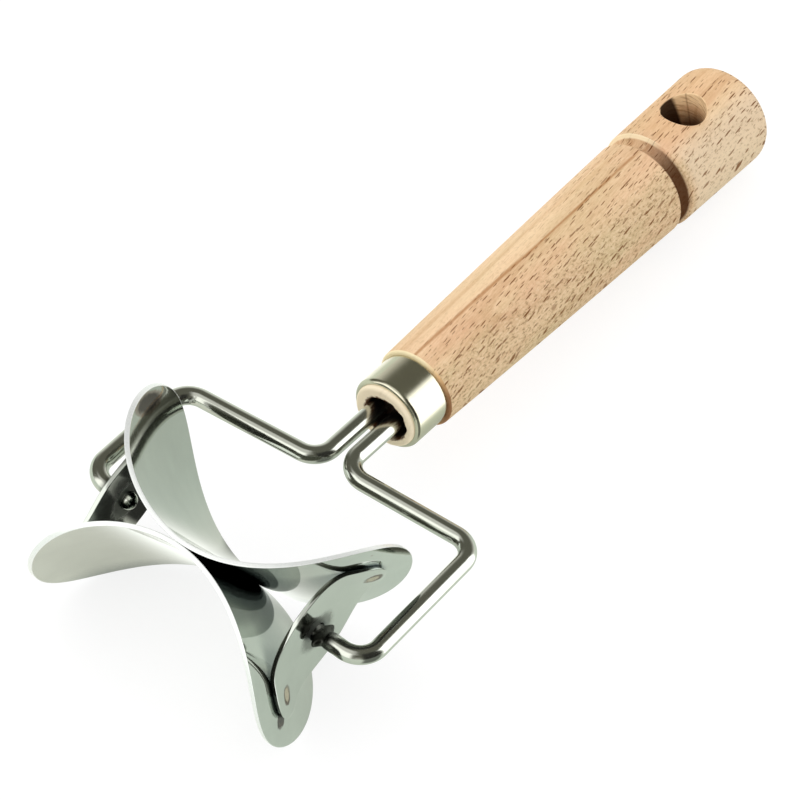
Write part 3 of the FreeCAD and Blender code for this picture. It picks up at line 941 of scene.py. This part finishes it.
# --------------------------------------------------------------------- metals
def metal(name, tint, rough, brushing, brush_scale, smudge, bump, marks=None):
    """Polished metal; brushing and smudge vary the roughness, marks adds local stains and painted
    shade, and on the blades a painted reflection.
    """
    m = Material(name)
    place = m.millimetres()
    cloud = m.noise(place, scale=(0.11, 0.11, 0.11), detail=3.0, rough=0.55)
    brush = m.noise(place, scale=brush_scale, detail=2.0, rough=0.55)
    smear = m.noise(place, scale=(0.6, 0.6, 0.6), turn=(0.3, 0.5, 0.7), detail=4.0, rough=0.6)
    colour = m.mix(cloud.fade(over=(0.35, 0.7)), tint, tuple(c * 0.93 for c in tint))
    roughness = rough + (brush - 0.5) * brushing
    roughness = roughness + smear.fade(over=(0.52, 0.75), to=(0.0, smudge))
    metallic = 1.0
    if marks:
        colour, roughness, metallic = marks(m, place, colour, roughness)
    normal = m.bump(brush, strength=bump, distance=0.000004)
    normal = m.bump(smear, strength=0.10, distance=0.00002, normal=normal)
    return m.finish(m.signal("BsdfPrincipled", {
        "Base Color": colour, "Roughness": roughness, "Metallic": metallic, "Normal": normal}))


def roller_parts(m, place):
    """x, u, v in the roller's own frame, in mm."""
    return m.mapping(place, turn=(-ROLL, 0, 0)).parts()


def crevice_shade(m, colour, reach, over):
    """Painted shade: darkens crevices by ambient occlusion; reach is in metres, over is the span
    of openness that clears it.
    """
    openness = m.signal("AmbientOcclusion", {"Distance": reach}, out="AO", samples=6)
    clear = openness.ease(over=over)
    return m.mix(clear, m.mix(1.0, colour, (0.34, 0.37, 0.39), "MULTIPLY"), colour)


def plate_marks(m, place, colour, rough):
    x, u, v = roller_parts(m, place)
    # spot welds near the plate tips: a small brown oval with a darker rim
    wobble = m.noise(place, scale=(0.9, 0.9, 0.9), detail=3.0, rough=0.6)
    far = u.above(0.0)
    on_plate = abs(x).above(24.0)
    off_u = (abs(u) - (13.6 + far * 1.2)) / 1.45
    off_v = (v + (0.2 + far * 1.8)) / 1.65
    distance = ragged(hypot(off_u, off_v), wobble, by=0.7)
    oval = distance.ease(over=(1.05, 0.75), to=(0.0, 0.55)) * on_plate
    rim = distance.ease(over=(1.30, 1.05)) * distance.ease(over=(0.62, 0.84)) * on_plate
    rim = rim * off_u.ease(over=(-0.8, 0.4), to=(0.55, 1.0))
    colour = colour.toward(srgb(180, 150, 104), amount=oval)
    colour = colour.toward(srgb(74, 48, 22), amount=rim * 0.92)
    rough = rough + oval * 0.35
    # painted shade: a dull dark ring round the pivot hole, where the wire stub enters
    ring = ragged(hypot(u, v), wobble, by=2.0).ease(over=(5.8, 3.4))
    colour = colour.toward((0.070, 0.075, 0.062), amount=ring * 0.62)
    # painted shade in the crevices where plate and blade meet
    return crevice_shade(m, colour, reach=0.0022, over=(0.36, 0.62)), rough + ring * 0.32, 1.0


def blade_marks(m, place, colour, rough):
    x, u, v = roller_parts(m, place)
    # ground land at the cutting edge: brighter, finely scratched and less metallic
    land = hypot(u, v).fade(over=(23.22, 23.36))
    scratches = m.noise(place, scale=(9.0, 9.0, 9.0), detail=2.0, rough=0.6)
    colour = colour.toward((0.90, 0.92, 0.90), amount=land)
    rough = rough + land * scratches.fade(over=(0.3, 0.7), to=(0.18, 0.34))
    # weld burn next to the +X plate tip, on the side where u is negative
    wobble = m.noise(place, scale=(0.8, 0.8, 0.8), detail=3.0, rough=0.6)
    distance = hypot((abs(u) - 17.9) / 2.15, (v + 0.3) / 2.1)
    burn = ragged(distance, wobble, by=0.8).ease(over=(1.12, 0.85), to=(0.0, 0.95))
    burn = burn * (x.above(24.0) * u.below(0.0))
    char = m.noise(place, scale=(1.4, 1.4, 1.4), detail=2.0, rough=0.6)
    char = char.colours((0.38, srgb(14, 11, 8)), (0.68, srgb(70, 56, 42)))
    colour = colour.toward(char, amount=burn)
    rough = rough + burn * 0.25
    # painted reflection: a long slanting brown patch near the -X tip, kept off the land
    off_u, off_v = u - 18.7, v - 9.5
    distance = hypot(off_u * 0.239 - off_v * 0.0495, off_v * 0.198 + off_u * 0.376)
    distance = ragged(distance, wobble, by=0.5) + x.above(-22.0) + land * 2.0
    colour = colour.toward(srgb(142, 116, 104),
                           amount=distance.ease(over=(1.12, 0.92), to=(0.0, 0.66)))
    colour = colour.toward(srgb(44, 30, 22),
                           amount=distance.ease(over=(0.94, 0.62), to=(0.0, 0.92)))
    # painted shade deep in the gap between the sheets
    return crevice_shade(m, colour, reach=0.012, over=(0.26, 0.72)), rough, 1.0 - land * 0.65


def wire_marks(m, place, colour, rough):
    """Painted shade on the stubs, round the pinched ears."""
    x, y, _ = place.parts()
    along = abs(x)
    stub_shade = along.ease(over=(24.4, 24.9)) * along.ease(over=(30.6, 28.6))
    stub_shade = stub_shade * y.fade(over=(6.0, 5.0), to=(0.0, 0.93))
    return colour.toward((0.022, 0.024, 0.019), amount=stub_shade), rough + stub_shade * 0.14, 1.0


def dark_glue():
    m = Material("dark_glue")
    lumps = m.signal("TexNoise", {"Vector": m.millimetres(), "Scale": 1.6, "Detail": 4.0,
                                  "Roughness": 0.6})
    return m.finish(m.signal("BsdfPrincipled", {
        "Base Color": lumps.colours((0.3, srgb(24, 12, 6)), (0.7, srgb(66, 36, 16))),
        "Roughness": lumps.fade(over=(0.3, 0.7), to=(0.25, 0.6)),
        "Normal": m.bump(lumps, strength=0.8, distance=0.0004)}))


def assign(piece, material):
    piece.data.materials.clear()
    piece.data.materials.append(material)
    for polygon in piece.data.polygons:
        polygon.material_index = 0


materials = {
    "beech": beech(),
    "ferrule_plate": metal("warm_nickel", tint=(0.66, 0.63, 0.50), rough=0.20, brushing=0.06,
                           brush_scale=(0.6, 9.0, 0.6), smudge=0.06, bump=0.25),
    "fork_steel": metal("bright_wire", tint=(0.62, 0.632, 0.575), rough=0.15, brushing=0.06,
                        brush_scale=(3.0, 3.0, 3.0), smudge=0.06, bump=0.12, marks=wire_marks),
    "blade_steel": metal("polished_blade", tint=(0.585, 0.615, 0.575), rough=0.05, brushing=0.04,
                         brush_scale=(0.5, 7.0, 7.0), smudge=0.05, bump=0.12, marks=blade_marks),
    "plate_steel": metal("polished_plate", tint=(0.585, 0.61, 0.57), rough=0.085, brushing=0.05,
                         brush_scale=(2.0, 6.0, 1.0), smudge=0.07, bump=0.15, marks=plate_marks),
}
glue_material = dark_glue()
for piece, _, _, slot_name in PIECES:
    assign(piece, materials[slot_name])
assign(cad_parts["bore_adhesive"], glue_material)

# -------------------------------------------------- what polished metal sees
# Panels of a mirrored studio, later ones over earlier ones. Azimuth runs from +Y towards +X.
# name, azimuths, edge softness, elevations, softness (bottom, top), colour; all in degrees
PANELS = (
    ("dim", (130.0, 152.0), 7.0, (-40.0, 14.0), (5.0, 16.0), (0.60, 0.60, 0.55)),
    ("black", (72.0, 126.0), 6.0, (-60.0, 62.0), (10.0, 12.0), (0.030, 0.030, 0.025)),
    ("handle_side", (-66.0, 62.0), 14.0, (-80.0, 18.0), (5.0, 21.0), (0.98, 0.98, 0.92)),
    ("over", (150.0, 262.0), 20.0, (44.0, 120.0), (7.0, 5.0), (0.80, 0.80, 0.76)),
    ("roller_side", (160.0, 238.0), 7.0, (-30.0, 50.0), (6.0, 6.0), (1.65, 1.66, 1.60)),
    ("left", (-62.0, -24.0), 9.0, (-68.0, -14.0), (9.0, 9.0), (1.30, 1.33, 1.26)),
    ("right", (27.0, 66.0), 4.0, (-28.0, 47.0), (9.0, 4.0), (2.25, 2.28, 2.26)),
)
BACKDROP = (0.130, 0.130, 0.102)
DEGREES = 57.29578              # per radian


def surroundings(graph, direction):
    """The studio's colour in a direction, and each panel's mask by name."""
    x, y, z = direction.apply("NORMALIZE", direction).parts()
    azimuth = x.apply("ARCTAN2", x, y) * DEGREES
    elevation = z.apply("ARCSINE", z) * DEGREES
    full_azimuth = azimuth + azimuth.below(0.0) * 360.0     # 0 to 360
    colour, masks = BACKDROP, {}
    for name, (start, end), soft, (bottom, top), (soft_bottom, soft_top), panel in PANELS:
        turn = full_azimuth if end > 180.0 else azimuth
        mask = (turn.ease(over=(start - soft, start + soft))
                * turn.ease(over=(end - soft, end + soft), to=(1.0, 0.0))
                * elevation.ease(over=(bottom - soft_bottom, bottom + soft_bottom))
                * elevation.ease(over=(top - soft_top, top + soft_top), to=(1.0, 0.0)))
        colour = graph.mix(mask, colour, panel)
        masks[name] = mask
    return colour, masks


# ---------------------------------------------------------------------- floor
def mirrored_floor(m):
    """The floor as reflections see it, with painted shadows: darker towards the handle, a dark
    oval under the roller and a darker, greener tint farther out; x, y in mm.
    """
    x, y, _ = (m.object_place * (1000.0, 1000.0, 1000.0)).parts()
    # painted shadow of the handle
    handle_shadow = (y.ease(over=(8.0, 52.0), to=(0.0, 0.26))
               * abs(x + 10.0).ease(over=(48.0, 12.0)))
    # painted shadow under the roller
    roller_shadow = hypot((x + 16.0) / 9.0, (y - 17.0) / 6.5)
    roller_shadow = roller_shadow.ease(over=(1.15, 0.75), to=(0.0, 0.95))
    light = (1.0 - handle_shadow) * (1.0 - roller_shadow)
    # painted shade: darker and greener farther out
    distance = hypot(x + 14.0, y + 12.0)
    tint = m.mix(distance.ease(over=(18.0, 52.0)), (0.505, 0.505, 0.452), (0.400, 0.440, 0.390))
    grey = light.colours((0.0, (0.0, 0.0, 0.0)), (1.0, (1.0, 1.0, 1.0)))
    paper = m.signal("BsdfDiffuse", {0: m.mix(1.0, tint, grey, "MULTIPLY")})
    glow = m.signal("Emission", {0: tint, 1: light})
    return m.signal("AddShader", {0: paper, 1: glow})


def floor_paper():
    """Paper that looks different to the camera, to reflections and to other light."""
    m = Material("floor_paper")
    drift = m.noise(m.millimetres(), scale=(0.02, 0.02, 0.02), detail=3.0, rough=0.5)
    plain = m.signal("BsdfPrincipled", {
        "Base Color": drift.colours((0.3, (0.90, 0.92, 0.87)), (0.7, (0.93, 0.95, 0.90))),
        "Roughness": 0.9, "Specular IOR Level": 0.05})
    paper = m.signal("BsdfDiffuse", {0: (0.26, 0.26, 0.26)})
    glow = m.signal("Emission", {0: (1, 1, 1), 1: 0.80})
    seen = m.signal("AddShader", {0: paper, 1: glow})
    incoming = m.signal("NewGeometry", out="Incoming")
    outgoing = m.signal("VectorMath", {0: incoming, "Scale": -1.0}, operation="SCALE")
    studio, masks = surroundings(m, outgoing)
    # painted light: in reflections the floor glows with the studio's left, right and black panels
    shining = masks["left"].largest(masks["right"]).largest(masks["black"] * 0.8)
    panels = m.signal("Emission", {0: studio})
    camera_ray, glossy_ray = m.signals("LightPath", outs=("Is Camera Ray", "Is Glossy Ray"))
    shader = m.mix_shader(glossy_ray, plain, mirrored_floor(m))
    shader = m.mix_shader(shining * glossy_ray, shader, panels)
    return m.finish(m.mix_shader(camera_ray, shader, seen))


def build_floor():
    """A plane under the roller, tilted so that the butt knob rests on it too."""
    roller_r, knob_r, span = 23.4, 11.9, 160.0
    tilt = math.asin((roller_r - knob_r) / span)
    material = floor_paper()
    bm = bmesh.new()
    bmesh.ops.create_grid(bm, x_segments=8, y_segments=8, size=3.0)
    mesh = bpy.data.meshes.new("floor")
    bm.to_mesh(mesh)
    bm.free()
    floor = bpy.data.objects.new("floor", mesh)
    bpy.context.scene.collection.objects.link(floor)
    floor.rotation_euler = (tilt, 0, 0)
    floor.location = (0, ORIGIN_Y * MM, -23.45 * MM / math.cos(tilt))
    assign(floor, material)


# ----------------------------------------------------------- world and lights
def build_world():
    """Reflections see the studio, the camera sees white, the rest a soft tent of light."""
    world = bpy.data.worlds.new("studio")
    bpy.context.scene.world = world
    world.use_nodes = True
    graph = Graph(world.node_tree)
    direction = graph.signal("TexCoord", out="Generated")
    studio, _ = surroundings(graph, direction)
    camera_ray, glossy_ray = graph.signals("LightPath", outs=("Is Camera Ray", "Is Glossy Ray"))
    mirrored = graph.signal("Background", {0: studio})
    # a little stronger from the upper left
    side = direction.apply("DOT_PRODUCT", direction, (-0.80, -0.30, 0.52), out=1)
    strength = side.fade(over=(-0.9, 1.0), to=(0.86, 1.14))
    tent = graph.signal("Background", {0: (1, 1, 1), 1: strength})
    white = graph.signal("Background", {0: (1, 1, 1)})
    shader = graph.mix_shader(glossy_ray, tent, mirrored)
    shader = graph.mix_shader(camera_ray, shader, white)
    graph.signals("OutputWorld", {0: shader}, outs=())


def build_key_light():
    """A soft area light from the upper left, hidden from reflections and camera; metres."""
    location, target = Vector((-0.9, -0.3, 0.9)), Vector((0, -0.05, 0))
    light = bpy.data.lights.new("key", "AREA")
    light.energy = 1.1
    light.size = 0.9
    lamp = bpy.data.objects.new("key", light)
    bpy.context.scene.collection.objects.link(lamp)
    lamp.location = location
    lamp.rotation_euler = (target - location).to_track_quat("-Z", "Y").to_euler()
    lamp.visible_glossy = False
    lamp.visible_camera = False


# --------------------------------------------------------------------- camera
CAMERA_PLACE = (362.96173975, -504.53378160, 777.77185041)     # mm from the roller's middle
CAMERA_RIGHT = (0.77680898, 0.62354223, 0.08810728)
CAMERA_UP = (-0.52079647, 0.55745078, 0.64654441)
CAMERA_BACK = (0.35403227, -0.54812746, 0.75777136)


def build_camera():
    camera = bpy.data.cameras.new("camera")
    camera.sensor_width = 36.0
    camera.lens = 225.034515
    camera.clip_start = 0.05
    camera.clip_end = 50.0
    viewer = bpy.data.objects.new("camera", camera)
    bpy.context.scene.collection.objects.link(viewer)
    pose = Matrix((CAMERA_RIGHT, CAMERA_UP, CAMERA_BACK)).transposed().to_4x4()
    pose.translation = (np.array(CAMERA_PLACE) + np.array([0.0, ORIGIN_Y, 0.0])) * MM
    viewer.matrix_world = pose
    bpy.context.scene.camera = viewer


build_floor()
build_world()
build_key_light()
build_camera()
bpy.context.scene.view_settings.view_transform = "Standard"
bpy.context.scene.view_settings.look = "None"
